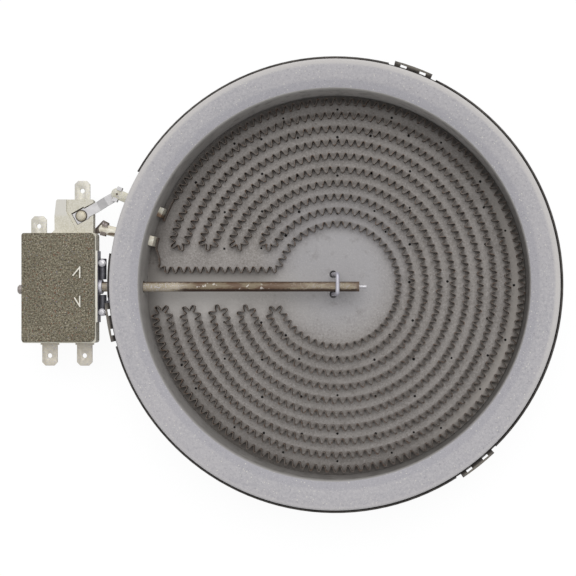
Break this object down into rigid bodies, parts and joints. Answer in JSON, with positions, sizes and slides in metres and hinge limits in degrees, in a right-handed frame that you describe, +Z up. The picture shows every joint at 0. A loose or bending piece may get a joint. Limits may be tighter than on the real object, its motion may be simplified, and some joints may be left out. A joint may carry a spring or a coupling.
{
  "type": "radiant surface element",
  "caption": "round radiant heater for a glass cooktop: corrugated ribbon coiled on an insulation dish in a sheet pan, with a rod-type temperature limiter and flat tabs at its side",
  "frame": {"origin": "centre of the pan's underside", "axes": "+Z up out of the pan towards the glass, +X from the limiter towards the heater's centre, +Y to the left of +X seen from above"},
  "size_m": [0.2181, 0.18, 0.031],
  "materials": {
    "pan_sheet": "dull aluminised sheet",
    "base_fibre": "pressed mineral insulation, matte",
    "ring_fibre": "fine fibre insulation, matte",
    "ribbon_alloy": "oxidised heating alloy",
    "lead_steel": "heat-tinted steel",
    "tube_ceramic": "ceramic tube, stained by heat",
    "bright_steel": "plain steel",
    "staple_wire": "pale steel",
    "steatite": "unglazed ceramic",
    "cover_grey": "speckled pressed board",
    "bracket_steel": "dull steel",
    "tab_steel": "nickelled steel",
    "strap_steel": "plain steel strip",
    "spring_bronze": "rolled spring strip"
  },
  "bodies": {
    "root": {"pan": "pan_sheet", "base_insulation": "base_fibre", "insulation_ring": "ring_fibre", "heating_ribbon": "ribbon_alloy", "lead_in_upper": "lead_steel", "lead_in_lower": "lead_steel", "sensor_tube": "tube_ceramic", "expansion_rod": "bright_steel", "rod_staple": "staple_wire", "tube_collar": "staple_wire", "limiter_body": "steatite", "limiter_cover": "cover_grey", "limiter_bracket": "bracket_steel", "bracket_rivets": "bright_steel", "tab_top_left": "tab_steel", "tab_top_right": "tab_steel", "tab_bottom_left": "tab_steel", "tab_bottom_right": "tab_steel", "tab_rivets": "bright_steel", "strap_rivet": "tab_steel", "upper_strap": "strap_steel", "lower_strap": "lead_steel", "push_pin": "steatite", "power_spring": "spring_bronze", "signal_spring": "spring_bronze", "contact_buttons": "bright_steel", "calibration_screw": "bright_steel"}
  },
  "joints": []
}
